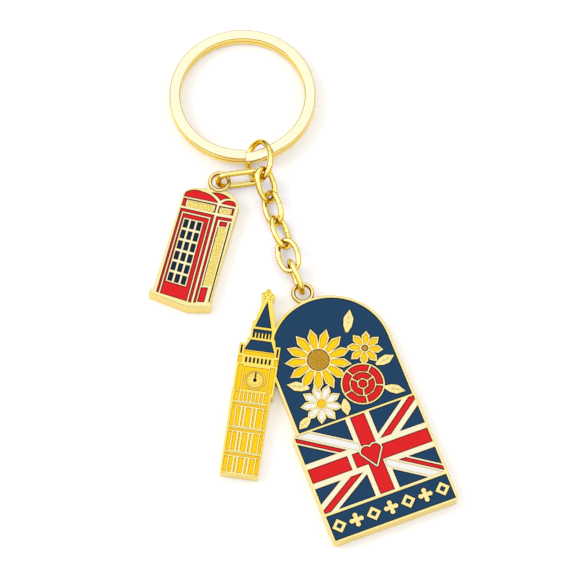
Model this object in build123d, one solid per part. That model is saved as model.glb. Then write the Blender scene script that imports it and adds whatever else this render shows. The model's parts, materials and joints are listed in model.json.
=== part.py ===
"""Souvenir keychain: split ring, oval wire chain and two enamelled die castings.

Millimetres, +Z up. The origin is the centre of the split ring, at half its thickness.
The keychain lies flat on a table, with the chain running towards -Y.
"""

from build123d import *
from math import asin, atan2, cos, degrees, radians, sin
import os

import numpy

# ---------------------------------------------------------------- driving dimensions
clearance = 0.08  # between pieces that hang in each other

ring_diameter = 30.0
ring_band = 2.2  # radial width of the flat wire
ring_coil = 1.2  # thickness of one coil
ring_coil_gap = 0.06
ring_chamfer = 0.28
ring_step_angle = -84.0  # where the upper coil ends
ring_ramp_angle = 27.0  # how far the crossover runs

# the links: each opening is inside its wire, and the chain's own wire turns in it
chain_wire = 1.22
chain_opening_length = 4.537 * chain_wire
chain_opening_width = 2.385 * chain_wire
chain_end_round = 0.938 * chain_wire
butt_gap = 0.1  # the closed joint of a bent wire link
wire_sides = 10  # flats round a wire

key_wire = 1.24
key_opening_length = 7.335
key_opening_width = 5.327
key_end_round = 2.313

box_wire = 1.22
box_opening_length = 7.6
box_opening_width = 2.66
box_end_round = 1.274

plate = 2.6  # thickness of the castings
cell_depth = 0.38
enamel_fill = 0.3
wall = 0.3  # fine raised line between two cells
border = 0.5  # raised rim of the plaque

eyelet_hole = 3.0
eyelet_wall = 0.85
eyelet_outer = eyelet_hole + 2 * eyelet_wall
eyelet_chamfer = 0.24
# flush with the face, and a link's wire passes under it
eyelet_thickness = plate - max(chain_wire, box_wire) - 3 * clearance

# how the pieces lie
key_heading = 12.35  # degrees to the right of -Y
key_pitch = 12.95
key_roll = -46.05
key_x = 3.5
key_lift = 0.26  # of its low bar over the table
first_angle = 1.86  # where the chain hangs, round the key link's wire from its tip
box_link_angle = -62.97  # and where the telephone box's link hangs
chain_heading = 16.6
last_pitch = 3.46  # the last chain link rises towards the plaque link
chain_rolls = (35.4, -48.5, 47.0, -23.1)
plaque_link_heading = 22.1
plaque_link_pitch = -8.0
box_link_heading = -81.7
box_link_roll = 74.7
box_link_pitch = 1.9
plaque_turn = 20.6
tower_turn = -8.3
box_turn = -15.8

UP = Vector(0, 0, 1)


# ---------------------------------------------------------------- oval wire links
class OvalLink:
    """A closed wire oval of four tangent arcs, lying in XY with its long axis along X."""

    def __init__(self, opening_length, opening_width, end_round, wire):
        self.wire = wire
        self.half_length = (opening_length + wire) / 2
        self.half_width = (opening_width + wire) / 2
        self.end_radius = end_round + wire / 2
        self.end_centre = self.half_length - self.end_radius
        squares = self.end_centre**2 + self.half_width**2 - self.end_radius**2
        self.side_radius = squares / (2 * (self.half_width - self.end_radius))
        self.side_centre = self.side_radius - self.half_width
        self.end_angle = degrees(atan2(self.side_centre, self.end_centre))
        around = [self.centreline(2 * step - 180) for step in range(180)]
        self.flat_points = numpy.array([(point.X, point.Y) for point in around])

    def solid(self):
        side_sweep = 180 - 2 * self.end_angle
        bends = [
            (self.end_radius, self.end_centre, 0, -self.end_angle, 2 * self.end_angle),
            (self.side_radius, 0, -self.side_centre, self.end_angle, side_sweep),
            (self.end_radius, -self.end_centre, 0, 180 - self.end_angle, 2 * self.end_angle),
            (self.side_radius, 0, self.side_centre, 180 + self.end_angle, side_sweep),
        ]
        round_wire = RegularPolygon(self.wire / 2, wire_sides, rotation=180 / wire_sides)
        body = Part()
        for radius, x, y, start, sweep in bends:
            section = Plane.XZ * Pos(radius, 0) * round_wire
            body += Pos(x, y) * Rot(0, 0, start) * revolve(section, Axis.Z, sweep)
        joint = Pos(0, self.half_width) * Box(butt_gap, 2 * self.wire, 2 * self.wire)
        return body - joint

    def centreline(self, angle):
        """The wire's centre, where an outward line from it is at an angle from the tip."""
        along, across = cos(radians(angle)), sin(radians(angle))
        if abs(across) * self.end_centre < abs(along) * self.side_centre:
            centre = self.end_centre if along > 0 else -self.end_centre
            return Vector(centre + self.end_radius * along, self.end_radius * across)
        centre = -self.side_centre if across > 0 else self.side_centre
        return Vector(self.side_radius * along, centre + self.side_radius * across)

    def wire_points(self, place):
        """Points along the wire's centre, where the oval lies."""
        plane = Plane(place)
        axes = numpy.array([tuple(plane.x_dir), tuple(plane.y_dir)])
        return self.flat_points @ axes + numpy.array(tuple(plane.origin))

    def standing_height(self, pitch):
        """Height of the oval's centre when it stands on edge and leans along its length."""
        return self.side_radius + self.wire / 2 - self.side_centre * cos(radians(pitch))


chain_oval = OvalLink(chain_opening_length, chain_opening_width, chain_end_round, chain_wire)
key_oval = OvalLink(key_opening_length, key_opening_width, key_end_round, key_wire)
box_oval = OvalLink(box_opening_length, box_opening_width, box_end_round, box_wire)


def direction(heading, pitch=0.0):
    """A unit vector, heading degrees to the right of -Y and pitch degrees upwards."""
    flat = cos(radians(pitch))
    return Vector(
        flat * sin(radians(heading)), -flat * cos(radians(heading)), sin(radians(pitch))
    )


def lie(centre, along, roll):
    """Where an oval lies: its centre, its long axis, and its roll, 0 for flat."""
    side = UP.cross(along).normalized()
    level = along.cross(side).normalized()
    normal = level * cos(radians(roll)) + side * sin(radians(roll))
    return Location(Plane(origin=centre, x_dir=along, z_dir=normal))


def world(location, point):
    return (location * Pos(point.X, point.Y, point.Z)).position


# ---------------------------------------------------------------- how the pieces touch
def distances(points, others):
    return numpy.linalg.norm(points[:, None] - others[None], axis=2)


def pulled_tight(gap_at, needed, most):
    """The least slack at which the gap between two pieces is as wide as it has to be."""
    slack = 0.0
    while gap_at(slack) < needed and slack < most:
        slack += 0.01
    return slack


def gap_to_band(points, inner, wall, thick, cut):
    """The least distance from points to a flat band round Z with its corners cut off."""
    from_axis = numpy.hypot(points[:, 0], points[:, 1])
    out = abs(from_axis - inner - wall / 2) - wall / 2 + cut
    up = abs(points[:, 2]) - thick / 2 + cut
    return numpy.hypot(out.clip(0), up.clip(0)).min() - cut


def hook_on(parent, parent_place, angle, child, along, roll, height=None):
    """Where a child link lies that hangs on its parent's wire, at an angle from the tip.

    It is pulled tight along its own length, or level at a height over the table.
    """
    held = world(parent_place, parent.centreline(angle))
    way = along
    if height is not None:
        held = Vector(held.X, held.Y, table + height)
        way = Vector(along.X, along.Y, 0).normalized()
    parent_points = parent.wire_points(parent_place)
    reach = child.half_length

    def place(slack):
        return lie(held + way * (reach - slack), along, roll)

    def gap_at(slack):
        return distances(parent_points, child.wire_points(place(slack))).min()

    return place(pulled_tight(gap_at, (parent.wire + child.wire) / 2 + clearance, reach))


def hang_eyelet(link, link_place, way):
    """The centre of a plate's eyelet that is pulled tight on a link, level with the table."""
    points = link.wire_points(link_place)
    start = link_place.position + way * (link.half_length + eyelet_hole / 2 + eyelet_wall / 2)
    start = Vector(start.X, start.Y, table)

    def gap_at(slack):
        spot = numpy.array(tuple(start - way * slack)) + [0, 0, eyelet_level]
        section = eyelet_hole / 2, eyelet_wall, eyelet_thickness, eyelet_chamfer
        return gap_to_band(points - spot, *section)

    needed = link.wire / 2 + clearance
    return start - way * pulled_tight(gap_at, needed, link.half_length)


# ---------------------------------------------------------------- where the pieces lie
ring_radius = ring_diameter / 2
ring_height = 2 * ring_coil + ring_coil_gap
# the near side of the ring rests on the key link, which passes under it
ring_lift = key_wire + 3 * clearance
ring_tilt = degrees(asin(ring_lift / (2 * ring_radius - 1.5 * ring_band)))
table = -(ring_radius * sin(radians(ring_tilt)) + ring_height / 2 * cos(radians(ring_tilt)))
ring_place = Rot(ring_tilt * -1, 0, 0)

key_along = direction(key_heading, key_pitch)
key_rise = key_oval.half_width * sin(radians(abs(key_roll))) + key_wire / 2 + key_lift


def key_place_at(slack):
    """Where the key link lies: with no slack, its near end is in the ring's band."""
    away = ring_radius - ring_band + key_oval.half_length
    return lie(Vector(key_x, slack - away, table + key_rise), key_along, key_roll)


def key_gap_at(slack):
    in_ring = ring_place.inverse() * key_place_at(slack)
    section = ring_radius - ring_band, ring_band, ring_height, ring_chamfer
    return gap_to_band(key_oval.wire_points(in_ring), *section)


key_slack = pulled_tight(key_gap_at, key_wire / 2 + clearance, key_oval.half_length)
key_place = key_place_at(key_slack)

# the chain: the first link slopes down from the key link, the next three lie flat
chain_level = chain_oval.half_width * sin(radians(max(map(abs, chain_rolls)))) + chain_wire / 2
first_start = world(key_place, key_oval.centreline(first_angle)).Z - table
first_span = 2 * chain_oval.half_length - (key_wire + chain_wire) / 2 - clearance
first_pitch = -degrees(asin((first_start - chain_level) / first_span))
chain_places = []
held, held_place, angle = key_oval, key_place, first_angle
for number, roll in enumerate(chain_rolls):
    along = direction(chain_heading, (first_pitch, 0.0, 0.0, last_pitch)[number])
    held_place = hook_on(held, held_place, angle, chain_oval, along, roll)
    chain_places.append(held_place)
    held, angle = chain_oval, 0.0

# the eyelets are flush with the face of their plate, clear of the wire under them
eyelet_level = plate - eyelet_thickness / 2

# the plaque link stands on edge between the last chain link and the plaque's eyelet
plaque_link_place = hook_on(
    chain_oval,
    chain_places[-1],
    0.0,
    chain_oval,
    direction(plaque_link_heading, plaque_link_pitch),
    90,
    chain_oval.standing_height(plaque_link_pitch),
)
plaque_eyelet = hang_eyelet(chain_oval, plaque_link_place, direction(plaque_link_heading))

# the telephone box's link stands nearly on edge beside the chain
upright = sin(radians(abs(box_link_roll)))
box_link_rise = box_wire / 2 + (box_oval.standing_height(box_link_pitch) - box_wire / 2) * upright
box_link_along = direction(box_link_heading, box_link_pitch)


def box_link_at(angle):
    return hook_on(
        key_oval, key_place, angle, box_oval, box_link_along, box_link_roll, box_link_rise
    )


# it hangs further round the key link if the first chain link is in its way
box_link_place = box_link_at(box_link_angle)
first_points = chain_oval.wire_points(chain_places[0])
beside = (chain_wire + box_wire) / 2 + clearance
while distances(first_points, box_oval.wire_points(box_link_place)).min() < beside:
    box_link_angle -= 2
    box_link_place = box_link_at(box_link_angle)
box_eyelet = hang_eyelet(box_oval, box_link_place, direction(box_link_heading))


# ---------------------------------------------------------------- split ring
def split_ring():
    """Two flat coils, one over the other, with a ramp from the lower to the upper one."""
    width, thick = ring_band, ring_coil
    middle = ring_radius - width / 2
    section = chamfer(Rectangle(width, thick).vertices(), ring_chamfer)
    low = -(thick + ring_coil_gap) / 2
    high = -low
    step, ramp = ring_step_angle, ring_ramp_angle
    end_gap = 3.0  # degrees between a coil's free end and the ramp

    def coil(level, start, sweep):
        profile = Plane.XZ * Pos(middle, level) * section
        return Rot(0, 0, start) * revolve(profile, Axis.Z, sweep)

    lower = coil(low, step + ramp + end_gap - 360, 360 - ramp - end_gap)
    upper = coil(high, step + ramp, 360 - ramp - end_gap)
    stations = 6
    faces = []
    for index in range(stations + 1):
        share = index / stations
        level = low + (high - low) * share * share * (3 - 2 * share)
        place = Rot(0, 0, step + ramp * share) * Plane.XZ.location * Pos(middle, level)
        faces.append(place * section)
    return ring_place * (lower + upper + loft(faces))


# ---------------------------------------------------------------- casting and enamel
def recess(cells):
    """The pockets that the enamel is poured into."""
    return extrude(Pos(0, 0, plate - cell_depth) * cells, cell_depth + 1)


def pour(cells):
    """Enamel in a group of cells, a little below the raised lines."""
    return extrude(Pos(0, 0, plate - cell_depth) * cells, enamel_fill)


def gather(shapes):
    return Sketch() + list(shapes)


def rectangle(left, low, right, high):
    return Pos((left + right) / 2, (low + high) / 2) * Rectangle(right - left, high - low)


def polygon(*points):
    return make_face(Polyline(*points, close=True))


def eyelet():
    """A ring at the origin, thinner than the plate and flush with its face."""
    section = chamfer(Rectangle(eyelet_wall, eyelet_thickness).vertices(), eyelet_chamfer)
    middle = (eyelet_outer + eyelet_hole) / 4
    return Pos(0, 0, eyelet_level) * revolve(Plane.XZ * Pos(middle, 0) * section, Axis.Z)


# ---------------------------------------------------------------- plaque
base_width = 26.3
base_middle = 0.23  # from the eyelet's axis, as the arch's
base_height = 23.65
base_corner = 0.9
arch_middle = 0.74
arch_radius = 12.5
arch_side = 13.55  # straight side above the base
band_height = 5.25
ledge = 0.42  # raised line between the arch and the flag
eyelet_above_arch = 1.8

arch_level = base_height + arch_side
eyelet_v = arch_level + arch_radius + eyelet_above_arch
inner_left = base_middle - base_width / 2 + border
inner_right = base_middle + base_width / 2 - border
band_low, band_high = border, border + band_height
flag_low, flag_high = band_high + 2 * wall, base_height - ledge + 0.07

cross_right = 0.58  # of the base's middle
cross_middle = (flag_low + flag_high) / 2 - 0.33
cross_half = 1.52
cross_side = 1.0  # bare metal beside the upright bar
cross_edge = 1.2  # and along the level one
slit_width = 0.95
diagonal_white = 1.45
diagonal_red = 0.85
diagonal_line = 0.35
red_alone = 1.35  # the other two diagonals, with bare metal on both sides
bare_lead, bare_trail = 0.85, 1.1
heart_width = 4.15


def arch(inset):
    """The arched panel's outline, from the base up, moved inwards."""
    radius = arch_radius - inset
    low = flag_high + ledge if inset else base_height
    panel = Pos(arch_middle, (low + arch_level) / 2) * Rectangle(2 * radius, arch_level - low)
    top = Pos(arch_middle, arch_level) * Circle(radius)
    return panel + (top - rectangle(-base_width, 0, base_width, low))


def plaque_outline():
    half = base_width / 2
    base = rectangle(base_middle - half, 0, base_middle + half, base_height)
    lower = base.vertices().sort_by(Axis.Y)[:2]
    upper = base.vertices().sort_by(Axis.Y)[2:].sort_by(Axis.X)[:1]
    return fillet(lower + upper, base_corner) + arch(0)


def heart(width):
    """A plain heart about the origin: two round lobes over a point."""
    half = [
        ThreePointArc((0, width * 0.3), (width * 0.25, width * 0.42), (width * 0.5, width * 0.12)),
        Line((width * 0.5, width * 0.12), (0, -width * 0.65)),
        Line((0, -width * 0.65), (0, width * 0.3)),
    ]
    right = make_face(half)
    return right + mirror(right, Plane.YZ)


def flag_cells():
    """The cells of a union flag: red, white and navy sketches."""
    across = base_middle + cross_right
    middle = cross_middle
    red, white, navy = [], [], []
    upright_bar = rectangle(across - cross_half, flag_low, across + cross_half, flag_high)
    level_bar = rectangle(inner_left, middle - cross_half, inner_right, middle + cross_half)
    slit = Pos(across - 2.9 * cross_half, middle) * Rectangle(slit_width, 3 * cross_half)
    heart_room = offset(flag_heart(), wall)
    red.append(upright_bar + level_bar - slit - heart_room)
    for side, up in ((1, 1), (-1, 1), (-1, -1), (1, -1)):
        corner_u = inner_right if side > 0 else inner_left
        corner_v = flag_high if up > 0 else flag_low
        field = rectangle(
            min(across + side * (cross_half + cross_side), corner_u),
            min(middle + up * (cross_half + cross_edge), corner_v),
            max(across + side * (cross_half + cross_side), corner_u),
            max(middle + up * (cross_half + cross_edge), corner_v),
        )
        slope = degrees(atan2(corner_v - middle, corner_u - across))
        stripe = Pos(across, middle) * Rot(0, 0, slope)
        length = 4 * base_width
        if side * up > 0:
            red.append(field & stripe * Rectangle(length, red_alone))
            spread = red_alone + bare_lead + bare_trail
            shift = (bare_lead - bare_trail) / 2
        else:
            # the white stripe leads the red one, turning clockwise round the middle
            near = rectangle(
                min(across + side * (cross_half + wall), corner_u),
                min(middle + up * (cross_half + wall), corner_v),
                max(across + side * (cross_half + wall), corner_u),
                max(middle + up * (cross_half + wall), corner_v),
            )
            white_shift = -(diagonal_white + diagonal_line) / 2
            white_band = stripe * Pos(0, white_shift) * Rectangle(length, diagonal_white)
            red_shift = (diagonal_red + diagonal_line) / 2
            red_band = stripe * Pos(0, red_shift) * Rectangle(length, diagonal_red)
            white.append((near & white_band) - heart_room)
            red.append(field & red_band)
            spread = diagonal_white + diagonal_red + 3 * diagonal_line
            shift = (diagonal_red - diagonal_white) / 2
        navy.append(field - stripe * Pos(0, shift) * Rectangle(length, spread))
    return gather(red), gather(white), gather(navy)


def flag_heart():
    return Pos(base_middle + cross_right, cross_middle + 0.42) * heart(heart_width)


def frieze():
    """Raised gold lozenges and rosettes along the bottom band."""
    count = 7
    pitch = (inner_right - inner_left) / count
    motif_height = 3.1
    middle = (band_low + band_high) / 2
    motifs = []
    for index in range(count):
        spot = Pos(base_middle + (index - (count - 1) / 2) * pitch, middle)
        if index % 2:
            motifs.append(spot * RegularPolygon(0.7, 8))
            for turn in range(0, 360, 90):
                motifs.append(spot * Rot(0, 0, turn) * Pos(0.98, 0) * RegularPolygon(0.55, 6))
        else:
            lozenge = Rot(0, 0, 45) * Rectangle(motif_height * 0.7, motif_height * 0.7)
            hole = Rot(0, 0, 45) * Rectangle(motif_height * 0.3, motif_height * 0.3)
            motifs.append(spot * (lozenge - hole))
    return gather(motifs)


def petal(length, width, base):
    """A pointed petal along +X from the origin, its sides bent in three."""
    upper = [(0, base / 2), (length * 0.3, width * 0.44), (length * 0.62, width * 0.5)]
    lower = [(x, -y) for x, y in reversed(upper)]
    return make_face(Polyline(*upper, (length, 0), *lower, close=True))


def bloom(x, y, petals, inner, outer, width, base, turn=0.0):
    """A round flower: its outline, its petal cells and its centre cell."""
    spot = Pos(x, y)
    rays = [Rot(0, 0, turn + 360 / petals * index) for index in range(petals)]
    cell = petal(outer - inner, width, base)
    rim = petal(outer - inner + 2.2 * wall, width + 2 * wall, base + 2 * wall)
    outline = gather([spot * ray * Pos(inner - wall / 2, 0) * rim for ray in rays])
    outline += spot * RegularPolygon(inner + wall, 24)
    cells = [spot * ray * Pos(inner, 0) * cell for ray in rays]
    centre = spot * RegularPolygon(inner - wall, 24)
    return outline, gather(cells), centre


def sector(inner, outer, start, sweep):
    """Part of a flat ring, in straight pieces."""
    steps = 5
    rim = [Vector(outer, 0).rotate(Axis.Z, start + sweep * k / steps) for k in range(steps + 1)]
    back = [Vector(inner, 0).rotate(Axis.Z, start + sweep * k / 2) for k in (2, 1, 0)]
    return polygon(*rim, *back)


def rose(x, y, size):
    """A rose of two rings of petals round a bud: its outline and its cells."""
    spot = Pos(x, y)
    rings = ((0.30, 0.60, 3, 20.0), (0.66, 1.0, 5, 50.0))
    cells = [spot * RegularPolygon(size * 0.22, 12)]
    for inner, outer, count, turn in rings:
        for index in range(count):
            gap = degrees(wall / (size * (inner + outer) / 2))
            start = turn + 360 / count * index
            cells.append(
                spot * sector(size * inner, size * outer, start, 360 / count - gap)
            )
    return spot * RegularPolygon(size + wall, 36), gather(cells)


def leaf(x, y, turn, length, width):
    return Pos(x, y) * Rot(0, 0, turn) * petal(length, width, width * 0.25)


def posy():
    """Flowers standing on the flag: the outline of all, and cells by colour."""
    sun, sun_petals, sun_seeds = bloom(-2.2, 36.9, 13, 2.6, 6.3, 1.4, 0.75)
    white, white_petals, white_eye = bloom(-4.9, 28.0, 9, 1.2, 3.8, 1.2, 0.55, 10)
    small, small_petals, small_eye = bloom(7.4, 36.0, 8, 1.0, 3.2, 1.1, 0.5, 20)
    red, red_cells = rose(4.3, 29.1, 4.1)
    leaves = [
        leaf(-6.0, 31.9, 150, 4.6, 2.0),
        leaf(5.2, 40.4, 62, 5.0, 2.0),
        leaf(8.2, 32.0, 8, 4.2, 1.9),
        leaf(-0.3, 27.4, -100, 3.6, 1.8),
        leaf(8.0, 27.0, -32, 4.4, 1.9),
        leaf(-8.0, 26.2, -150, 3.4, 1.8),
    ]
    outline = gather([white, small, red, sun] + leaves)
    behind = sun + red
    return {
        "outline": outline,
        "yellow": gather([sun_petals - red, small_petals - behind, white_eye]),
        "brown": gather([sun_seeds, small_eye]),
        "white": white_petals - behind,
        "rose": red_cells,
    }


# ---------------------------------------------------------------- clock tower
tower_foot = 1.0
tower_half = 3.75
tower_spread = 0.2  # how much wider it is below the clock, on each side
tower_columns = 0.7  # width of the side columns
mullion = 0.42
storey_levels = (0.7, 5.25, 10.45, 15.75)  # middle of each double band, from the ground up
storey_band = 0.75
clock_low, clock_high = 18.6, 24.0
window_low, window_high = 24.6, 25.7
cornice_high = 27.0
belt_low, belt_high = 30.0, 31.85
spire_low, spire_tip = 32.35, 38.0
finial_level, finial_radius = 39.1, 1.2
dial_radius = 1.85
head_middle = 0.23  # the head stands a little to the right of the shaft


def tower_outline():
    half, wide = tower_half, tower_half + tower_spread
    shaft = polygon((-half, tower_foot), (half, tower_foot), (wide, clock_low), (-wide, clock_low))
    middle = head_middle
    head = rectangle(middle - 4.1, clock_low - 0.7, middle + 4.1, cornice_high)
    roof = polygon((-3.3, 26.4), (3.75, 26.4), (3.0, 30.0), (-2.25, 30.0))
    belt = rectangle(-2.05, 29.5, 2.75, spire_low)
    spire = polygon(
        (-1.85, spire_low - 0.2), (2.75, spire_low - 0.2), (2.3, 34.6), (1.1, 38.6), (-0.5, 38.6)
    )
    spike = rectangle(-1.98, belt_high, -1.62, belt_high + 1.7)
    finial = [Pos(0.2, finial_level) * RegularPolygon(finial_radius, 12)]
    for x, y in ((-0.6, 0.2), (0.2, 1.0), (1.0, 0.1)):
        finial.append(Pos(x, finial_level + y) * RegularPolygon(0.62, 10))
    pinnacles = [
        rectangle(middle + side * 3.65 - 0.45, 22, middle + side * 3.65 + 0.45, 28.6)
        for side in (-1, 1)
    ]
    return gather([shaft, head, roof, belt, spire, spike] + finial + pinnacles)


def split_columns(left, right, widths, line=wall):
    """Spans between raised lines: each width is a share of what the lines leave."""
    free = right - left - line * (len(widths) - 1)
    spans = []
    start = left
    for share in widths:
        end = start + free * share / sum(widths)
        spans.append((start, end))
        start = end + line
    return spans


def tower_cells():
    """Cells of the tower by colour."""
    left, right = 0.35 - tower_half, tower_half - 0.2
    inner_left_u, inner_right_u = left + tower_columns, right - 0.8 * tower_columns
    yellow, navy, black = [], [], []
    bays = split_columns(inner_left_u + wall, inner_right_u - wall, (7, 3, 10, 3.5, 10), mullion)
    for low, high in zip(storey_levels, storey_levels[1:]):
        bottom, top = low + storey_band / 2 + wall, high - storey_band / 2 - wall
        yellow += [rectangle(a, bottom, b, top) for a, b in bays]
        for a, b in ((left, inner_left_u), (inner_right_u, right)):
            yellow.append(rectangle(a, bottom, b, top))
        yellow.append(rectangle(left, high - storey_band / 2, right, high + storey_band / 2 - wall))
    arcade = split_columns(left, right, (2,) + (1,) * 6 + (2,))
    arcade_low = storey_levels[-1] + storey_band / 2 + wall
    yellow += [rectangle(a, arcade_low, b, clock_low - wall) for a, b in arcade]
    middle = head_middle
    face_half = 2.4
    face_level = (clock_low + clock_high) / 2 - 0.25
    square = rectangle(middle - face_half, clock_low + wall, middle + face_half, clock_high - wall)
    rim = Pos(middle, face_level) * Circle(dial_radius + 0.8 * wall)
    yellow.append(square - rim)
    for side in (-1, 1):
        near, far = middle + side * (face_half + wall), middle + side * 3.65
        yellow.append(rectangle(min(near, far), clock_low, max(near, far), clock_high))
    dial = Pos(middle, face_level) * Circle(dial_radius)
    for index in range(7):
        slot = middle + 0.79 * (index - 3)
        black.append(rectangle(slot - 0.19, window_low, slot + 0.19, window_high))
    yellow.append(rectangle(middle - 3.05, window_high + 2 * wall, middle + 3.05, cornice_high))
    for side in (-1, 1):
        slot = middle + side * 3.62
        black.append(rectangle(slot - 0.17, 26.4, slot + 0.17, 28.15))
        near, far = slot - 0.36, slot + 0.36
        yellow.append(rectangle(near, window_low - 0.1, far, window_high + 0.1))
    roof_low = cornice_high + 0.8 * wall
    navy.append(polygon((-2.82, roof_low), (3.25, roof_low), (2.35, 29.5), (-1.84, 29.5)))
    belt = rectangle(-1.64, belt_low, 2.1, belt_high)
    bars = [rectangle(x - 0.15, belt_low, x + 0.15, belt_low + 1.1)
            for x in (-1.05, -0.37, 0.31, 0.99, 1.67)]
    navy.append(belt - gather(bars))
    navy.append(polygon((-1.4, spire_low), (1.9, spire_low), (0.3, spire_tip)))
    return {
        "yellow": gather(yellow),
        "navy": gather(navy),
        "black": gather(black),
        "dial": dial,
    }


def hands():
    """Clock hands pointing up, with a round hub, lying on the dial."""
    level = (clock_low + clock_high) / 2 - 0.25
    shape = Pos(head_middle, level) * RegularPolygon(0.36, 12)
    shape += rectangle(head_middle - 0.12, level, head_middle + 0.12, level + 1.6)
    return extrude(Pos(0, 0, plate - cell_depth + enamel_fill) * shape, 0.12)


# the tower stands on the plaque's left edge, in one casting with it
def tower_location():
    """Where the tower's foot is, in the plaque's own frame."""
    turn = tower_turn - plaque_turn
    return Pos(-25.9, 19.03) * Rot(0, 0, turn)


# ---------------------------------------------------------------- telephone box
box_left, box_right = -5.65, 5.85
box_splay = 0.35  # the right side runs out towards the foot
box_eyelet_u, box_eyelet_v = 0.6, 29.6
pane_columns, pane_rows = 3, 6
pane_width, pane_height = 0.98, 1.85
pane_pitch_across, pane_pitch_up = 1.41, 2.39
bare_line = 0.27  # raised lines of the telephone box

# corners of the two drawn faces: bottom left, bottom right, top left, top right
front_face = ((-4.95, 3.0), (2.45, 2.65), (-5.38, 24.2), (1.6, 24.55))
side_face = ((2.87, 2.8), (6.0, 3.55), (2.08, 24.4), (5.28, 24.65))
face_height = 21.5


def on_face(face, across, up):
    """A point of a drawn face, across and up measured in millimetres along it."""
    width = face[1][0] - face[0][0]
    s, t = across / width, up / face_height
    corners = [Vector(*corner) for corner in face]
    low = corners[0] * (1 - s) + corners[1] * s
    high = corners[2] * (1 - s) + corners[3] * s
    point = low * (1 - t) + high * t
    return (point.X, point.Y)


def patch(face, left, low, right, high):
    corners = ((left, low), (right, low), (right, high), (left, high))
    return polygon(*[on_face(face, *corner) for corner in corners])


def box_outline():
    left, right = box_left, box_right
    roof_left, roof_right = (left - 0.05, 25.2), (right + 0.1, 25.3)
    outline = [
        Line((left, 2.6), (left, 24.3)),
        Line((left, 24.3), roof_left),
        ThreePointArc(roof_left, (-4.9, 26.25), (-3.5, 26.8)),
        ThreePointArc((-3.5, 26.8), (-1.3, 27.35), (0.9, 27.75)),
        ThreePointArc((0.9, 27.75), (4.4, 27.05), roof_right),
        Line(roof_right, (right + box_splay, 2.9)),
        Line((right + box_splay, 2.9), (2.1, 1.7)),
        Line((2.1, 1.7), (left, 2.6)),
    ]
    plinth = polygon(
        (-6.25, 2.15), (2.1, 1.2), (6.7, 2.5), (6.55, 3.7), (2.3, 2.5), (-6.25, 3.2)
    )
    neck = rectangle(box_eyelet_u - 1.2, 26.5, box_eyelet_u + 1.2, box_eyelet_v - eyelet_hole / 2)
    return gather([make_face(outline), plinth, neck])


def box_cells():
    """Cells of the telephone box by colour."""
    front_width = front_face[1][0] - front_face[0][0]
    side_width = side_face[1][0] - side_face[0][0]
    red, navy, black = [], [], []
    door, door_band, strip = 19.2, 0.7, 0.53
    inner = strip + bare_line
    right_inner = front_width - strip - 0.1 - bare_line
    red.append(
        patch(front_face, 0, 0, front_width, door)
        - patch(front_face, strip, -1, front_width - strip - 0.1, door - door_band)
    )
    first_across, first_up = 1.5, 3.15
    glass_right = first_across + pane_pitch_across * (pane_columns - 1) + pane_width
    glass_high = first_up + pane_pitch_up * (pane_rows - 1) + pane_height
    red.append(
        patch(front_face, inner, 0, right_inner, door - door_band - 1.2 * bare_line)
        - patch(
            front_face,
            first_across - bare_line,
            first_up - bare_line,
            glass_right + bare_line,
            glass_high + bare_line,
        )
    )
    for column in range(pane_columns):
        for row in range(pane_rows):
            a = first_across + column * pane_pitch_across
            b = first_up + row * pane_pitch_up
            navy.append(patch(front_face, a, b, a + pane_width, b + pane_height))
    sign_low, sign_high = door + 0.5, face_height
    red.append(
        patch(front_face, 0, sign_low, front_width, sign_high)
        - patch(front_face, 0.8, sign_low + 0.2, front_width - 0.3, sign_high - 0.25)
    )
    red.append(
        patch(side_face, 0, sign_low + 0.2, side_width, sign_high)
        - patch(side_face, 0.25, sign_low + 0.45, side_width - 0.45, sign_high - 0.25)
    )
    red.append(
        patch(side_face, 0, 0, side_width, door) - patch(side_face, 0.5, -1, 4, door - 0.7)
    )
    red.append(patch(side_face, 0.72, 0.15, side_width - 1.0, 3.4))
    red.append(patch(side_face, 0.95, door - 2.05, side_width - 0.7, door - 1.0))
    black.append(patch(side_face, side_width - 0.23, 0.2, side_width, door - 1.0))
    black.append(patch(side_face, 0.8, 3.7, 0.95, door - 2.3))
    front_dome = make_face(
        [
            Line((-5.48, 24.5), (1.75, 24.95)),
            ThreePointArc((1.75, 24.95), (0.2, 26.05), (-2.0, 26.5)),
            ThreePointArc((-2.0, 26.5), (-4.3, 26.25), (-5.3, 25.55)),
            Line((-5.3, 25.55), (-5.48, 24.5)),
        ]
    )
    side_dome = make_face(
        [
            Line((2.3, 24.97), (5.35, 25.08)),
            ThreePointArc((5.35, 25.08), (5.1, 25.8), (4.2, 26.1)),
            ThreePointArc((4.2, 26.1), (3.1, 25.85), (2.3, 24.97)),
        ]
    )
    crown = make_face(
        [
            ThreePointArc((-0.3, 26.75), (0.95, 26.3), (2.0, 25.5)),
            ThreePointArc((2.0, 25.5), (2.9, 26.25), (3.9, 26.5)),
            ThreePointArc((3.9, 26.5), (2.1, 27.1), (-0.3, 26.75)),
        ]
    )
    red += [front_dome, side_dome, crown]
    return {"red": gather(red), "navy": gather(navy), "black": gather(black)}


# ---------------------------------------------------------------- the nodes
def plaque_location():
    """The plaque's own frame: the middle of its bottom edge, on the table."""
    turn = Rot(0, 0, plaque_turn)
    foot = Vector(plaque_eyelet.X, plaque_eyelet.Y, table) - world(turn, Vector(0, eyelet_v, 0))
    return Pos(foot.X, foot.Y, foot.Z) * turn


def box_location():
    """The telephone box's own frame: the middle of its foot, on the table."""
    turn = Rot(0, 0, box_turn)
    foot = Vector(box_eyelet.X, box_eyelet.Y, table)
    foot -= world(turn, Vector(box_eyelet_u, box_eyelet_v, 0))
    return Pos(foot.X, foot.Y, foot.Z) * turn


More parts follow.
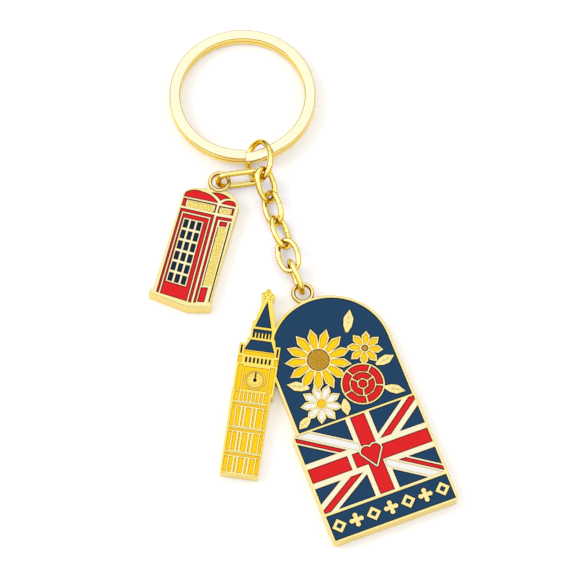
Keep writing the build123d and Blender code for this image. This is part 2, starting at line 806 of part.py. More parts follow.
def plaque_nodes():
    tower = tower_location()
    tower_shape = tower * tower_outline()
    tower_fill = {name: tower * cells for name, cells in tower_cells().items()}
    flowers = posy()
    flag_red, flag_white, flag_navy = flag_cells()
    field = arch(border) - flowers["outline"] - tower_shape
    band = rectangle(inner_left, band_low, inner_right, band_high) - frieze()
    fills = {
        "arch_navy_enamel": field,
        "flag_navy_enamel": flag_navy,
        "flag_red_enamel": flag_red,
        "flag_white_enamel": flag_white,
        "heart_red_enamel": flag_heart(),
        "band_navy_enamel": band,
        "flower_yellow_enamel": flowers["yellow"],
        "flower_brown_enamel": flowers["brown"],
        "flower_white_glitter": flowers["white"],
        "rose_red_enamel": flowers["rose"],
        "tower_yellow_enamel": tower_fill["yellow"],
        "tower_navy_enamel": tower_fill["navy"],
        "tower_black_enamel": tower_fill["black"],
        "clock_dial_enamel": tower_fill["dial"],
    }
    casting = extrude(plaque_outline() + tower_shape, plate) + Pos(0, eyelet_v) * eyelet()
    for cells in fills.values():
        casting -= recess(cells)
    nodes = {"plaque_casting": casting}
    nodes.update({name: pour(cells) for name, cells in fills.items()})
    nodes["clock_hands"] = tower * hands()
    return {name: plaque_location() * shape for name, shape in nodes.items()}


def box_nodes():
    cells = box_cells()
    casting = extrude(box_outline(), plate)
    casting -= extrude(Pos(box_eyelet_u, box_eyelet_v) * Circle(eyelet_outer / 2), plate)
    casting += Pos(box_eyelet_u, box_eyelet_v) * eyelet()
    for sketch in cells.values():
        casting -= recess(sketch)
    nodes = {
        "phone_box_casting": casting,
        "phone_box_red_enamel": pour(cells["red"]),
        "phone_box_window_enamel": pour(cells["navy"]),
        "phone_box_black_enamel": pour(cells["black"]),
    }
    return {name: box_location() * shape for name, shape in nodes.items()}


def link_nodes():
    nodes = {"key_link": key_place * key_oval.solid()}
    nodes["phone_box_link"] = box_link_place * box_oval.solid()
    for number, place in enumerate(chain_places, 1):
        nodes[f"chain_link_{number}"] = place * chain_oval.solid()
    nodes["plaque_link"] = plaque_link_place * chain_oval.solid()
    return nodes


def main():
    os.makedirs("parts", exist_ok=True)
    nodes = {"split_ring": split_ring()}
    nodes.update(link_nodes())
    nodes.update(plaque_nodes())
    nodes.update(box_nodes())
    for name, shape in nodes.items():
        export_step(shape, f"parts/{name}.step")


if __name__ == "__main__":
    main()
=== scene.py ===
"""Looks for the souvenir keychain: polished gold plate, hard enamel and a white table."""

import json
import math
import random

import bmesh
import bpy
import numpy as np
from mathutils import Matrix, Vector


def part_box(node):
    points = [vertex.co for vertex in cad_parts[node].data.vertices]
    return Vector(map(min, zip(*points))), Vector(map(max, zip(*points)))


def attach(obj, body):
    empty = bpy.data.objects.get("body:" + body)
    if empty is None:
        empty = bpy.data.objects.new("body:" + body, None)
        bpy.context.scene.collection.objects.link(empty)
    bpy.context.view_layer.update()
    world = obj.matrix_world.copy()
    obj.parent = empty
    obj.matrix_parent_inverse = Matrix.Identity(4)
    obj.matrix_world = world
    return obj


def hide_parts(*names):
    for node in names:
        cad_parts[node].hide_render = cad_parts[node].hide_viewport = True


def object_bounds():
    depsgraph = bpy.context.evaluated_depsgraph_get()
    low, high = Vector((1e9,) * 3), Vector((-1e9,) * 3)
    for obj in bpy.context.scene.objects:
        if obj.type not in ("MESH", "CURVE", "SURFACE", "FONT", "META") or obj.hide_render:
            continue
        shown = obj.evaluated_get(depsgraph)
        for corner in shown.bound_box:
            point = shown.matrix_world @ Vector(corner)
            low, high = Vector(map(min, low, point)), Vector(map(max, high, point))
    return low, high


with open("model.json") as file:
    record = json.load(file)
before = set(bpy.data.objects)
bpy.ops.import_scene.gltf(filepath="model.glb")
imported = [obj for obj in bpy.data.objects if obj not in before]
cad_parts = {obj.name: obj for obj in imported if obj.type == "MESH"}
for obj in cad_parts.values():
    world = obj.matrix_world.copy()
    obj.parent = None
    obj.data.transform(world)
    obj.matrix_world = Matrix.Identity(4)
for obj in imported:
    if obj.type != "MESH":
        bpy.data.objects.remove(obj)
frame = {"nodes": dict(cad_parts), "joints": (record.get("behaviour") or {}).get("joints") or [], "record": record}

MM = 0.001  # sizes are in millimetres, and are multiplied by this where they meet the frame
nodes = frame["nodes"]
cad_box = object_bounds()
TABLE = cad_box[0][2]
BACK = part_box("plaque_casting")[0][2]  # height of the castings' flat backs
PLATE = (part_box("plaque_casting")[1][2] - BACK) / MM  # top of the castings over it
ENAMEL = (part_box("arch_navy_enamel")[1][2] - BACK) / MM  # top of the enamel over it


# ---------------------------------------------------------------- shader maths
class Value:
    """A number or vector socket, with arithmetic that adds Math nodes."""

    def __init__(self, shader, socket):
        self.shader, self.socket = shader, socket

    def math(self, operation, *others):
        values = {0: self}
        values.update(enumerate(others, 1))
        return self.shader.add("ShaderNodeMath", {"operation": operation}, values)[0]

    def __add__(self, other):
        return self.math("ADD", other)

    def __sub__(self, other):
        return self.math("SUBTRACT", other)

    def __rsub__(self, other):
        return (self * -1.0).math("ADD", other)

    def __mul__(self, other):
        return self.math("MULTIPLY", other)

    def __gt__(self, other):
        return self.math("GREATER_THAN", other)

    __radd__, __rmul__ = __add__, __mul__

    def clamp(self):
        return self.math("MINIMUM", 1.0).math("MAXIMUM", 0.0)


class Outputs:
    """The output sockets of a node, by name or number."""

    def __init__(self, shader, node):
        self.shader, self.node = shader, node

    def __getitem__(self, key):
        return Value(self.shader, self.node.outputs[key])


class Shader:
    """The node tree of a material or world, whose values go to one last node."""

    def __init__(self, owner, last):
        owner.use_nodes = True
        self.owner, self.tree = owner, owner.node_tree
        self.last = self.tree.nodes[last]

    def put(self, socket, value):
        if isinstance(value, Value):
            self.tree.links.new(value.socket, socket)
        else:
            socket.default_value = value

    def set(self, name, value):
        self.put(self.last.inputs[name], value)

    def add(self, kind, settings=None, values=None):
        """A node of a kind, with its settings and its sockets' values or links."""
        node = self.tree.nodes.new(kind)
        for name, value in (settings or {}).items():
            if name == "stops":
                elements = node.color_ramp.elements
                while len(elements) < len(value):
                    elements.new(0.5)
                for element, (place, colour) in zip(elements, value):
                    element.position, element.color = place, colour
            else:
                setattr(node, name, value)
        for name, value in (values or {}).items():
            self.put(node.inputs[name], value)
        return Outputs(self, node)

    def place(self):
        """Where a point is on the keychain at rest, in metres."""
        return self.add("ShaderNodeTexCoord")["Object"]

    def worn(self, radius):
        """The normal of a surface whose sharp edges are rubbed round, by a radius in millimetres."""
        return self.add("ShaderNodeBevel", {"samples": 6}, {"Radius": radius * MM})[0]

    def upward(self, normal):
        """1 where a surface faces up, 0 where it is upright or faces down."""
        settings = {"vector_type": "NORMAL", "convert_from": "WORLD", "convert_to": "OBJECT"}
        own = self.add("ShaderNodeVectorTransform", settings, {0: normal})[0]
        return self.add("ShaderNodeSeparateXYZ", {}, {0: own})[2].clamp()

    def along(self, place, axis):
        """How far a point is along an axis of a casting's own frame, in millimetres."""
        way = place.to_3x3().col[axis]
        settings = {"operation": "DOT_PRODUCT"}
        line = self.add("ShaderNodeVectorMath", settings, {0: self.place(), 1: way / MM})[1]
        return line - way.dot(place.translation) / MM

    def zone(self, place, left, low, right, high):
        """1 inside a rectangle of a casting's own frame."""
        u, v = self.along(place, 0), self.along(place, 1)
        return (u > left) * (v > low) * (1.0 - (u > right)) * (1.0 - (v > high))

    def noise(self, scale, detail=2.0, roughness=0.5):
        values = {"Vector": self.place(), "Scale": scale, "Detail": detail, "Roughness": roughness}
        return self.add("ShaderNodeTexNoise", {}, values)["Fac"]

    def flakes(self, scale):
        """A random number for each fleck of a field of small ones."""
        values = {"Vector": self.place(), "Scale": scale}
        colour = self.add("ShaderNodeTexVoronoi", {}, values)["Color"]
        return self.add("ShaderNodeSeparateColor", {}, {0: colour})[0]

    def rim(self, reach):
        """1 on a pad's edge, fading to 0 a little way in."""
        settings = {"inside": True, "only_local": True, "samples": 8}
        values = {"Distance": reach * MM}
        return 1.0 - self.add("ShaderNodeAmbientOcclusion", settings, values)["AO"]

    def tuck(self, reach):
        """1 where other surfaces crowd in, 0 in the open."""
        values = {"Distance": reach * MM}
        return 1.0 - self.add("ShaderNodeAmbientOcclusion", {"samples": 8}, values)["AO"]

    def ramp(self, amount, *stops):
        """A grey level read off a ramp of (place, level) stops."""
        stops = [(place, (level, level, level, 1.0)) for place, level in stops]
        return self.add("ShaderNodeValToRGB", {"stops": stops}, {0: amount})[0]

    def mix(self, amount, first, second):
        """A colour between two."""
        values = {0: amount, 6: first, 7: second}
        return self.add("ShaderNodeMix", {"data_type": "RGBA"}, values)[2]

    def bump(self, height, distance, normal=None):
        """The normal of a surface raised by up to a distance in millimetres."""
        values = {"Height": height, "Distance": distance * MM}
        if normal:
            values["Normal"] = normal
        return self.add("ShaderNodeBump", {}, values)[0]


def finish(name, **settings):
    """A new material's shader, with the same settings all over."""
    shader = Shader(bpy.data.materials.new(name), "Principled BSDF")
    for socket, value in settings.items():
        shader.set(socket.replace("_", " ").title().replace("Ior", "IOR"), value)
    return shader


def srgb(red, green, blue):
    """A colour given as it looks, from 0 to 255."""
    def linear(part):
        part /= 255
        return part / 12.92 if part < 0.04045 else ((part + 0.055) / 1.055) ** 2.4

    return (linear(red), linear(green), linear(blue), 1.0)


# ---------------------------------------------------------------- castings' own frames
def flat_turn(degrees):
    """A turn about the upright axis."""
    return Matrix.Rotation(math.radians(degrees), 4, "Z")


def plate_frame(joint, turn, eyelet):
    """A casting's own frame, turned by degrees, whose eyelet is on the joint it swings on."""
    spot = next(entry["pos_m"] for entry in frame["joints"] if entry["name"] == joint)
    shift = Matrix.Translation((-eyelet[0] * MM, -eyelet[1] * MM, 0))
    return Matrix.Translation((spot[0], spot[1], BACK)) @ flat_turn(turn) @ shift


PLAQUE_TURN, TOWER_TURN, BOX_TURN = 20.6, -8.3, -15.8
PLAQUE = plate_frame("plaque_swing", PLAQUE_TURN, (0.0, 51.5))
BOX = plate_frame("phone_box_swing", BOX_TURN, (0.6, 29.6))
TOWER_FOOT = Matrix.Translation((-25.9 * MM, 19.03 * MM, 0))
TOWER = PLAQUE @ TOWER_FOOT @ flat_turn(TOWER_TURN - PLAQUE_TURN)


def at(place, u, v, w):
    """A point of a casting, in millimetres in its own frame."""
    return place @ Vector((u * MM, v * MM, w * MM))


def middle(place, node):
    """Where the middle of a node is in a casting's own frame, in millimetres."""
    low, high = (Vector(corner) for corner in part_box(node))
    spot = place.inverted() @ ((low + high) / 2) / MM
    return spot.x, spot.y


# ---------------------------------------------------------------- finishes
# how far a surface faces up where the painted shade of its wall gives way to that of its edge, and that to the
# painted highlight of its face
FLAT_SLOPES = (0.66, 0.88, 0.91, 0.972)
WIRE_SLOPES = (0.08, 0.35, 0.55, 0.96)
# painted shade colour for the crevices where pieces crowd
CREVICE_SHADE_GOLD = srgb(164, 112, 10)


def gold(name, lit_face, edge_shade, shaded_wall, roughness, grain, wear, slopes=FLAT_SLOPES, zones=()):
    """Gold plate with painted light: a pale painted highlight on top, painted shade on edges, sides and crevices.

    The grain's height and the wear's radius are in millimetres, and each zone is a casting's
    own frame, a rectangle in it and the colour that faces have there.
    """
    shader = finish(name, metallic=1.0)
    clouds = shader.noise(scale=900.0, detail=3.0)
    fine = shader.noise(scale=5200.0, detail=4.0, roughness=0.65)
    for place, bounds, colour in zones:
        lit_face = shader.mix(shader.zone(place, *bounds), lit_face, colour)
    normal = shader.worn(wear)
    # painted light: the colour goes from shaded wall to shaded edge to lit face by how far a surface faces up
    up = shader.upward(normal) + clouds * 0.05 - 0.025
    painted_side_shade = shader.mix(shader.ramp(up, (slopes[0], 0.0), (slopes[1], 1.0)), shaded_wall, edge_shade)
    painted_light_and_shade = shader.mix(shader.ramp(up, (slopes[2], 0.0), (slopes[3], 1.0)), painted_side_shade, lit_face)
    # painted shade where other surfaces crowd in
    painted_crevice_shade = shader.ramp(shader.tuck(reach=0.7), (0.4, 0.0), (0.9, 1.0))
    shader.set("Base Color", shader.mix(painted_crevice_shade, painted_light_and_shade, CREVICE_SHADE_GOLD))
    shader.set("Roughness", fine * (roughness * 0.9) + roughness * 0.55)
    waves = shader.noise(scale=650.0)
    shader.set("Normal", shader.bump(waves * 0.6 + fine * 0.4, grain, normal))
    return shader.owner


def stipple():
    """Gold with a sandblasted grain, as on the telephone box's bare panels."""
    shader = finish("stippled gold", metallic=1.0)
    grain = shader.noise(scale=3600.0, detail=4.0, roughness=0.75)
    peaks = shader.ramp(grain, (0.36, 0.0), (0.6, 1.0))
    shader.set("Base Color", shader.mix(peaks, srgb(196, 160, 62), srgb(253, 238, 142)))
    shader.set("Roughness", grain * 0.3 + 0.25)
    shader.set("Normal", shader.bump(grain, distance=0.05))
    return shader.owner


def enamel(name, colour, edge_shade, reach=0.29, zones=()):
    """Hard enamel: a slightly uneven glossy colour, with painted shade along its edges.

    The painted edge shade's reach is in millimetres, and the zones are as in gold.
    """
    shader = finish(name, specular_ior_level=0.12)
    clouds, fine = shader.noise(scale=420.0, detail=3.0), shader.noise(scale=3200.0, detail=3.0)
    deep = tuple(part * 0.9 for part in colour[:3]) + (1.0,)
    body = shader.mix(clouds, colour, deep)
    for place, bounds, other in zones:
        body = shader.mix(shader.zone(place, *bounds), body, other)
    # painted shade along the pads' edges, where the raised walls would shade them
    painted_edge_shade = shader.ramp(shader.rim(reach), (0.03, 0.0), (0.24, 1.0))
    shader.set("Base Color", shader.mix(painted_edge_shade, body, edge_shade))
    shader.set("Roughness", fine * 0.1 + 0.14)
    waves = shader.noise(scale=520.0, detail=1.5)
    shader.set("Normal", shader.bump(waves, distance=0.012))
    return shader.owner


def glitter():
    """White enamel full of silver flakes that catch the light one by one."""
    shader = finish("glitter enamel", specular_ior_level=0.5)
    flake, tone = shader.flakes(scale=6200.0), shader.flakes(scale=3900.0)
    bright = flake > 0.66
    tint = shader.mix(tone, srgb(226, 214, 190), srgb(252, 250, 246))
    shader.set("Base Color", shader.mix(bright, srgb(248, 244, 238), tint))
    shader.set("Metallic", bright * 0.9)
    shader.set("Roughness", tone * 0.25 + 0.15)
    shader.set("Normal", shader.bump(flake * 0.6 + tone * 0.4, distance=0.05))
    return shader.owner


# the castings' faces, which carry the painted highlight, are paler round the flag and on the telephone box,
# and deeper on the tower outside its storeys
CASTING_ZONES = (
    (PLAQUE, (-12.3, 6.2, 12.7, 23.2), srgb(252, 243, 208)),
    (BOX, (-5.3, 2.9, 5.4, 26.0), srgb(254, 244, 196)),
    (TOWER, (-4.9, 0.0, 4.9, 42.0), srgb(253, 230, 108)),
    (TOWER, (-2.7, 0.8, 2.9, 18.3), srgb(255, 243, 162)),
)
# the telephone box's panes are a deeper navy than the plaque's fields
WINDOWS = ((BOX, (-4.6, 5.0, 3.0, 21.5), srgb(16, 36, 62)),)
# the golds' face, edge and wall colours are a painted highlight and painted shade, set by which way a surface
# faces
FINISHES = {
    "ring_gold": gold(
        "ring gold", lit_face=srgb(255, 253, 218), edge_shade=srgb(196, 150, 50), shaded_wall=srgb(250, 218, 116),
        roughness=0.14, grain=0.003, wear=0.12),
    "link_gold": gold(
        "link gold", lit_face=srgb(255, 247, 160), edge_shade=srgb(250, 208, 46), shaded_wall=srgb(178, 124, 12),
        roughness=0.12, grain=0.004, wear=0.03, slopes=WIRE_SLOPES),
    "casting_gold": gold(
        "casting gold", lit_face=srgb(252, 238, 164), edge_shade=srgb(172, 124, 32),
        shaded_wall=srgb(248, 218, 116), roughness=0.22, grain=0.006, wear=0.14, zones=CASTING_ZONES),
    "stippled_gold": stipple(),
    # each enamel's second colour is painted shade along its edges
    "navy_enamel": enamel("navy enamel", srgb(25, 62, 96), srgb(6, 14, 24), zones=WINDOWS),
    "red_enamel": enamel("red enamel", srgb(220, 28, 32), srgb(104, 10, 12)),
    "white_enamel": enamel("white enamel", srgb(238, 238, 236), srgb(230, 216, 172)),
    "glitter_enamel": glitter(),
    "yellow_enamel": enamel("yellow enamel", srgb(255, 204, 2), srgb(216, 152, 10), reach=0.15),
    "dial_enamel": enamel("dial enamel", srgb(252, 222, 108), srgb(198, 150, 40)),
    "brown_enamel": enamel("brown enamel", srgb(186, 138, 26), srgb(104, 70, 12)),
    "black_enamel": enamel("black enamel", srgb(20, 18, 20), srgb(6, 6, 8)),
}


# ---------------------------------------------------------------- mesh making
def soften(piece, width=0.0):
    """Smooths a piece's faces, and keeps its edges sharp or bevels them by a width."""
    corner = math.radians(30)
    weld = piece.modifiers.new("weld", "WELD")
    weld.merge_threshold = 0.002 * MM
    piece.data.shade_smooth()
    if not width:
        split = piece.modifiers.new("creases", "EDGE_SPLIT")
        split.split_angle = corner
        return
    flat = piece.modifiers.new("flats", "DECIMATE")
    flat.decimate_type = "DISSOLVE"
    flat.angle_limit = math.radians(0.5)
    bevel = piece.modifiers.new("edges", "BEVEL")
    bevel.width = width * MM
    bevel.segments = 2
    bevel.limit_method = "ANGLE"
    bevel.angle_limit = corner
    normals = piece.modifiers.new("normals", "WEIGHTED_NORMAL")
    normals.weight = 100


def add_piece(name, mesh, body, slot, look=None):
    """Turns a bmesh into a piece that rides on a body, with its slot's finish or another look."""
    bmesh.ops.recalc_face_normals(mesh, faces=mesh.faces)
    data = bpy.data.meshes.new(name)
    mesh.to_mesh(data)
    mesh.free()
    data.shade_smooth()
    piece = bpy.data.objects.new(name, data)
    bpy.context.scene.collection.objects.link(piece)
    data.materials.append(FINISHES[look or slot])
    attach(piece, body)
    return piece


def join_loops(mesh, low, high):
    """The wall of faces between two loops of as many points."""
    count = len(low)
    for k in range(count):
        other = (k + 1) % count
        mesh.faces.new((low[k], low[other], high[other], high[k]))


def sweep(mesh, stations, section, closed=False):
    """A bar of one section along stations of (centre, across, up, (width, height))."""
    loops = [
        [mesh.verts.new(centre + across * x * wide + up * y * tall) for x, y in section]
        for centre, across, up, (wide, tall) in stations
    ]
    for first, second in zip(loops, loops[1:] + (loops[:1] if closed else [])):
        join_loops(mesh, first, second)
    if not closed:
        mesh.faces.new(loops[0])
        mesh.faces.new(loops[-1])


def arc_points(radius, x, y, start, stop, steps):
    """Points of an arc, as plain pairs."""
    angles = [math.radians(start + (stop - start) * k / steps) for k in range(steps + 1)]
    return [(x + radius * math.cos(a), y + radius * math.sin(a)) for a in angles]


def round_points(radius, count, x=0.0, y=0.0):
    """Points all round a circle."""
    return arc_points(radius, x, y, 0, 360 - 360 / count, count - 1)


def rounded_bar(width, height, corner):
    """The outline of a bar's section with round corners."""
    points = []
    for turn, (x, y) in enumerate(((1, 1), (-1, 1), (-1, -1), (1, -1))):
        centre = x * (width / 2 - corner), y * (height / 2 - corner)
        points += arc_points(corner, *centre, 90 * turn, 90 * turn + 90, 5)
    return points


# ---------------------------------------------------------------- ring and links
def ring_tilt():
    """How far the ring leans, from its mount's axis."""
    mounts = frame["record"]["mounts"]
    axis = next(mount["axis"] for mount in mounts if mount["name"] == "key_ring")
    return math.atan2(abs(axis[1]), abs(axis[2]))


def split_ring():
    """Two flat coils wound from one bar, the lower one's end ground thin under the ramp."""
    middle_radius, level = 13.9, 0.63  # of the upper coil; the lower one is as far below
    width, thick, corner, slit = 2.2, 1.2, 0.26, 0.06
    step, ramp, tail, end_gap = -84.0, 27.0, 17.0, 3.0  # degrees round the ring
    stations, count = [], 460
    tilt = Matrix.Rotation(-ring_tilt(), 3, "X")
    up = Vector((0, 0, 1))

    def height(angle):
        share = min(max((angle - step) / ramp, 0.0), 1.0)
        return level * (2 * share * share * (3 - 2 * share) - 1)

    first, last = step + ramp - tail - 360, step + 360 - end_gap
    for k in range(count + 1):
        angle = first + (last - first) * k / count
        across = Vector((math.cos(math.radians(angle)), math.sin(math.radians(angle)), 0))
        low, tall = height(angle) - thick / 2, thick
        if angle < step + ramp - 360:
            tall = height(angle + 360) - thick / 2 - slit - low
        centre = tilt @ (across * middle_radius + up * (low + tall / 2)) * MM
        size = (0.9, 0.9 * tall / thick) if k in (0, count) else (1.0, tall / thick)
        stations.append((centre, tilt @ across, tilt @ up, size))
    mesh = bmesh.new()
    sweep(mesh, stations, [(x * MM, y * MM) for x, y in rounded_bar(width, thick, corner)])
    piece = add_piece("ring_coils", mesh, "split_ring", "ring_gold")
    soften(piece)
    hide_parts("split_ring")


CHAIN_END, KEY_END, BOX_END = 1.144, 2.313, 1.274  # inner radius of the links' ends
WIRE_FLATS = 10  # round the CAD links' wire
HALF_GAP = 0.02  # from the middle of a butt joint to either end of the wire
CUT_END = 0.95  # size of the wire where it is cut, as a share of the rest


def measure_link(name):
    """A CAD link's middle, its long, wide and thin axes, and its size along them."""
    spots = np.array([vertex.co for vertex in nodes[name].data.vertices])
    mean = spots.mean(0)
    _, axes = np.linalg.eigh(np.cov((spots - mean).T))
    normal, across, along = (Vector(axes[:, k]) for k in range(3))
    reach = [spots @ np.array(axis) for axis in (along, across, normal)]
    middles = [(line.max() + line.min()) / 2 for line in reach]
    centre = along * middles[0] + across * middles[1] + normal * middles[2]
    if across.dot(Vector(mean) - centre) < 0:
        across = -across  # towards the butted side, which has more points
    return centre, (along, across, normal), [line.max() - line.min() for line in reach]


def wire_link(name, end_round):
    """A link of round wire in four bends, butted in the middle of one side.

    The wire is as thick as the CAD one is across its flats.
    """
    centre, (along, across, normal), (length, width, wire) = measure_link(name)
    thick = wire * math.cos(math.pi / WIRE_FLATS)
    half_length, half_width = (length - thick) / 2, (width - thick) / 2
    end = end_round * MM + wire / 2
    end_centre = half_length - end
    side = (end_centre**2 + half_width**2 - end**2) / (2 * (half_width - end))
    side_centre = side - half_width
    gap = math.degrees(HALF_GAP * MM / side)
    stations, count = [], 132
    for k in range(count + 1):
        angle = math.radians(90 + gap + (360 - 2 * gap) * k / count)
        x, y = math.cos(angle), math.sin(angle)
        if abs(y) * end_centre < abs(x) * side_centre:
            u, v = math.copysign(end_centre, x) + end * x, end * y
        else:
            u, v = side * x, side * y - math.copysign(side_centre, y)
        size = (CUT_END, CUT_END) if k in (0, count) else (1.0, 1.0)
        stations.append((centre + along * u + across * v, along * x + across * y, normal, size))
    mesh = bmesh.new()
    sweep(mesh, stations, round_points(thick / 2, 24))
    piece = add_piece(name.replace("link", "wire"), mesh, name, "link_gold")
    soften(piece)
    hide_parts(name)


# ---------------------------------------------------------------- small raised shapes
def dome(mesh, place, u, v, level, radius, height):
    """A low round stud."""
    stations = [(level - 0.02, 1.0), (level + height * 0.55, 0.84), (level + height * 0.9, 0.5)]
    loops = [
        [mesh.verts.new(at(place, x, y, w)) for x, y in round_points(radius * size, 12, u, v)]
        for w, size in stations
    ]
    for low, high in zip(loops, loops[1:]):
        join_loops(mesh, low, high)
    mesh.faces.new(loops[0])
    mesh.faces.new(loops[-1])


def ridge(mesh, place, points, level, width, height, closed=False):
    """A fine raised line with a round back, thinner at its open ends."""
    section = [(-0.5, -0.3), (-0.42, 0.45), (-0.18, 0.92), (0.18, 0.92), (0.42, 0.45), (0.5, -0.3)]
    section = [(x * width * MM, y * height * MM) for x, y in section]
    up = Vector((0, 0, 1))
    turn = place.to_3x3()
    stations, count = [], len(points)
    for k, (u, v) in enumerate(points):
        before = points[k - 1] if k or closed else points[k]
        after = points[(k + 1) % count] if k + 1 < count or closed else points[k]
        way = Vector((after[0] - before[0], after[1] - before[1], 0)).normalized()
        across = turn @ Vector((way.y, -way.x, 0))
        size = (0.35, 0.35) if not closed and k in (0, count - 1) else (1.0, 1.0)
        stations.append((at(place, u, v, level), across, up, size))
    sweep(mesh, stations, section, closed)


# ---------------------------------------------------------------- fine gold work
def gold_work(name, mesh, body):
    """A piece of fine raised gold lines or studs."""
    soften(add_piece(name, mesh, body, "casting_gold"))


def clock_face():
    """Fine rings and hour marks on the tower's dial."""
    mesh = bmesh.new()
    u, v = middle(TOWER, "clock_dial_enamel")
    for radius, width in ((1.52, 0.11), (1.0, 0.08)):
        circle = round_points(radius, 36, u, v)
        ridge(mesh, TOWER, circle, ENAMEL, width, height=0.06, closed=True)
    for hour in range(12):
        x, y = math.cos(math.radians(30 * hour)), math.sin(math.radians(30 * hour))
        line = [(u + x * radius, v + y * radius) for radius in (1.12, 1.18, 1.36, 1.42)]
        ridge(mesh, TOWER, line, ENAMEL, width=0.12, height=0.05)
    gold_work("clock_rings", mesh, "plaque")


# the middle of each flower's heart on the plaque
SUNFLOWER, DAISY, BUTTERCUP = (-2.2, 36.9), (-4.9, 28.0), (7.4, 36.0)


def flower_studs():
    """Gold seeds in the flowers' hearts, in the spiral of a real sunflower."""
    mesh = bmesh.new()
    golden_angle, spacing = 137.508, 0.325
    for k in range(44):
        angle, out = math.radians(golden_angle * k), spacing * math.sqrt(k + 0.4)
        u, v = SUNFLOWER[0] + out * math.cos(angle), SUNFLOWER[1] + out * math.sin(angle)
        dome(mesh, PLAQUE, u, v, ENAMEL, radius=0.12 + 0.0012 * k, height=0.1)
    for (u, v), spread in ((DAISY, 0.5), (BUTTERCUP, 0.4)):
        dome(mesh, PLAQUE, u, v, ENAMEL, radius=0.15, height=0.1)
        for x, y in round_points(spread, 6, u, v):
            dome(mesh, PLAQUE, x, y, ENAMEL, radius=0.12, height=0.09)
    gold_work("flower_seeds", mesh, "plaque")


# where each leaf starts on the plaque, the way it points in degrees, and its length
LEAVES = (
    (-6.0, 31.9, 150, 4.6), (5.2, 40.4, 62, 5.0), (8.2, 32.0, 8, 4.2),
    (-0.3, 27.4, -100, 3.6), (8.0, 27.0, -32, 4.4), (-8.0, 26.2, -150, 3.4),
)


def leaf_ribs():
    """A midrib and two pairs of veins on each leaf."""
    mesh = bmesh.new()
    for u, v, turn, length in LEAVES:
        leaf = PLAQUE @ Matrix.Translation((u * MM, v * MM, 0)) @ flat_turn(turn)
        rib = [(length * share, 0.0) for share in (0.2, 0.3, 0.5, 0.7, 0.88)]
        ridge(mesh, leaf, rib, PLATE, width=0.16, height=0.07)
        for share in (0.38, 0.58):
            for side in (-1, 1):
                start = length * share
                vein = [(start, 0.0), (start + 0.25, side * 0.2), (start + 0.55, side * 0.5)]
                ridge(mesh, leaf, vein, PLATE, width=0.11, height=0.05)
    gold_work("leaf_ribs", mesh, "plaque")


LEDGE_WIDTH, LEDGE_HEIGHT = 0.2, 0.06


def plinth_step():
    """The fine step along the front of the telephone box's plinth."""
    mesh = bmesh.new()
    step = [(-6.1, 2.5), (-2.0, 2.05), (2.1, 1.6), (4.3, 2.22), (6.5, 2.84)]
    ridge(mesh, BOX, step, PLATE, LEDGE_WIDTH, LEDGE_HEIGHT)
    gold_work("plinth_line", mesh, "phone_box")


def storey_ledges():
    """The raised line along each ledge between the storeys of the clock tower."""
    mesh = bmesh.new()
    for level in (5.62, 10.82, 16.12):
        ledge = [(-3.6 + 1.8 * step, level) for step in range(5)]
        ridge(mesh, TOWER, ledge, PLATE, LEDGE_WIDTH, LEDGE_HEIGHT)
    gold_work("ledge_lines", mesh, "plaque")


def finial_dimples():
    """Small dark dimples on the tower's clover finial."""
    mesh = bmesh.new()
    for u, v in ((-0.66, 39.5), (-0.34, 39.0), (-0.05, 39.95), (0.45, 39.95), (0.75, 39.0),
                 (1.05, 39.4), (0.2, 40.35), (-0.3, 38.5), (0.75, 38.45), (0.2, 39.4)):
        dome(mesh, TOWER, u, v, PLATE, radius=0.13, height=0.02)
    add_piece("finial_dimples", mesh, "plaque", "black_enamel")


BUMP_PITCH, BUMP_HEIGHT = 0.14, 0.05  # how far apart a panel's bumps are, and how high
RIM_DROP, SUNK = 0.01, 0.06  # how far a panel's rim and underside are below the casting's face


def stippled_panel(name, corners, seed):
    """A sandblasted panel on the telephone box: a grid of fine bumps.

    Its corners are the low left, low right, high left and high right one.
    """
    draw = random.Random(seed)
    low_left, low_right, high_left, high_right = (Vector(corner) for corner in corners)
    across = max(int((low_right - low_left).length / BUMP_PITCH), 4)
    up = max(int((high_left - low_left).length / BUMP_PITCH), 4)
    mesh = bmesh.new()
    top, base = [], []
    for j in range(up + 1):
        for i in range(across + 1):
            s, t = i / across, j / up
            spot = (low_left.lerp(low_right, s)).lerp(high_left.lerp(high_right, s), t)
            inner = 0 < i < across and 0 < j < up
            rise = draw.uniform(0.0, BUMP_HEIGHT) if inner else -RIM_DROP
            top.append(mesh.verts.new(at(BOX, spot.x, spot.y, PLATE + rise)))
            under = at(BOX, spot.x, spot.y, PLATE - SUNK)
            base.append(None if inner else mesh.verts.new(under))
    row = across + 1
    for j in range(up):
        for i in range(across):
            k = j * row + i
            mesh.faces.new((top[k], top[k + 1], top[k + row + 1], top[k + row]))
    rim = list(range(row)) + [j * row + across for j in range(1, up + 1)]
    rim += [up * row + i for i in range(across - 1, -1, -1)] + [j * row for j in range(up - 1, 0, -1)]
    join_loops(mesh, [base[k] for k in rim], [top[k] for k in rim])
    mesh.faces.new([base[k] for k in rim])
    add_piece(name, mesh, "phone_box", "casting_gold", look="stippled_gold")


# ---------------------------------------------------------------- dressing the castings
ENAMEL_EDGE = 0.025  # bevel of the enamel pads' edges


def dress():
    """Gives every CAD node its finish and its edges."""
    slots = {entry["node"]: entry["material_slot"] for entry in frame["record"]["subparts"]}
    for name, piece in nodes.items():
        piece.data.materials.clear()
        piece.data.materials.append(FINISHES[slots[name]])
        if name.endswith("casting"):
            soften(piece)
        elif slots[name].endswith("enamel"):
            soften(piece, ENAMEL_EDGE)


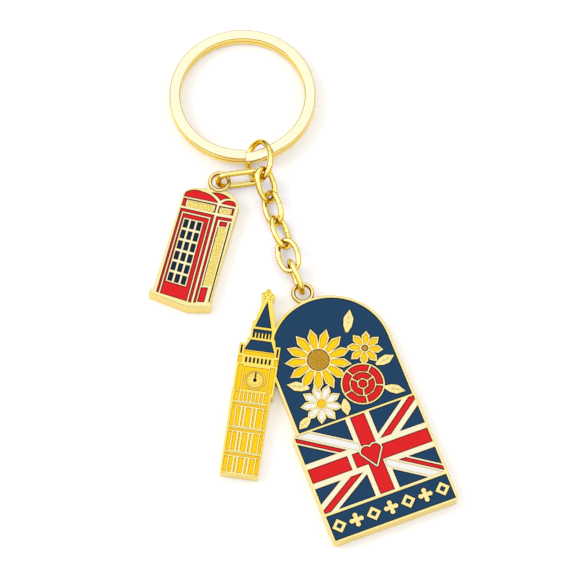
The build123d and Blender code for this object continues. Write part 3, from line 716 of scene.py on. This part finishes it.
def build():
    """Adds the pieces that are finer than the CAD ones."""
    split_ring()
    wire_link("key_link", KEY_END)
    wire_link("phone_box_link", BOX_END)
    wire_link("plaque_link", CHAIN_END)
    for number in range(1, 5):
        wire_link(f"chain_link_{number}", CHAIN_END)
    clock_face()
    flower_studs()
    leaf_ribs()
    plinth_step()
    storey_ledges()
    stippled_panel("side_panel", ((3.74, 6.8), (5.48, 7.06), (3.23, 20.05), (4.97, 20.16)), seed=3)
    stippled_panel("front_sign", ((-4.4, 22.4), (1.2, 22.7), (-4.45, 23.9), (1.2, 24.2)), seed=5)
    finial_dimples()
    stippled_panel("side_sign", ((2.5, 22.8), (4.75, 23.0), (2.4, 24.0), (4.75, 24.2)), seed=7)


# ---------------------------------------------------------------- table, light, camera
AIM = Vector((8.72 * MM, -40.83 * MM, TABLE))
TABLE_GLOW = 0.22  # lifts the pale table to white where it is seen or mirrored
CAMERA_DISTANCE = 0.7  # in metres, as the lamps' places and sizes are
CAMERA_HEIGHT = math.radians(68.5)  # over the table
LENS, SENSOR = 219.145, 36


def table():
    """A white table that stays white to the eye and keeps the soft shadow."""
    bpy.ops.mesh.primitive_plane_add(size=6.0, location=(0, 0, TABLE - 0.02 * MM))
    top = bpy.context.object
    top.name = "table_top"
    shader = finish("table white", roughness=0.9, specular_ior_level=0.0)
    shader.set("Base Color", (0.83, 0.83, 0.84, 1.0))
    path = shader.add("ShaderNodeLightPath")
    seen = (path["Is Camera Ray"] + path["Is Glossy Ray"] + path["Is Transmission Ray"]).clamp()
    shader.set("Emission Color", shader.ramp(seen, (0.0, 0.0), (1.0, TABLE_GLOW)))
    shader.set("Emission Strength", 1.0)
    top.data.materials.append(shader.owner)


def facing(holder, place, way):
    """Puts a lamp's or camera's holder at a place and turns it to look along a way."""
    holder.location = place
    holder.rotation_euler = way.to_track_quat("-Z", "Y").to_euler()
    bpy.context.scene.collection.objects.link(holder)


def lamp(name, place, size, power):
    light = bpy.data.lights.new(name, "AREA")
    light.shape, light.size, light.energy = "DISK", size, power
    facing(bpy.data.objects.new(name, light), Vector(place), AIM - Vector(place))


def lights():
    """A bright soft ceiling, a dim wall behind it and two lamps."""
    world = bpy.data.worlds.new("room")
    bpy.context.scene.world = world
    room = Shader(world, "Background")
    way = room.add("ShaderNodeTexCoord")["Generated"]
    height = room.add("ShaderNodeSeparateXYZ", {}, {0: way})[2] * 0.5 + 0.5
    walls = (0.0, 0.6), (0.5, 0.3), (0.56, 0.05), (0.64, 0.5), (0.76, 1.0), (1.0, 1.0)
    room.set("Color", room.ramp(height, *walls))
    room.set("Strength", 1.0)
    lamp("key lamp", (-0.62, 0.1, 0.6), size=0.5, power=2.2)
    lamp("fill lamp", (0.5, 0.1, 0.6), size=0.5, power=0.5)


def camera():
    """A long lens that looks steeply down on the table."""
    lens = bpy.data.cameras.new("camera")
    lens.lens, lens.sensor_width = LENS, SENSOR
    lens.clip_start, lens.clip_end = 0.01, 20
    holder = bpy.data.objects.new("camera", lens)
    back = Vector((0, -math.cos(CAMERA_HEIGHT), math.sin(CAMERA_HEIGHT)))
    facing(holder, AIM + back * CAMERA_DISTANCE, -back)
    bpy.context.scene.camera = holder


dress()
build()
table()
lights()
camera()
bpy.context.scene.view_settings.view_transform = "Standard"
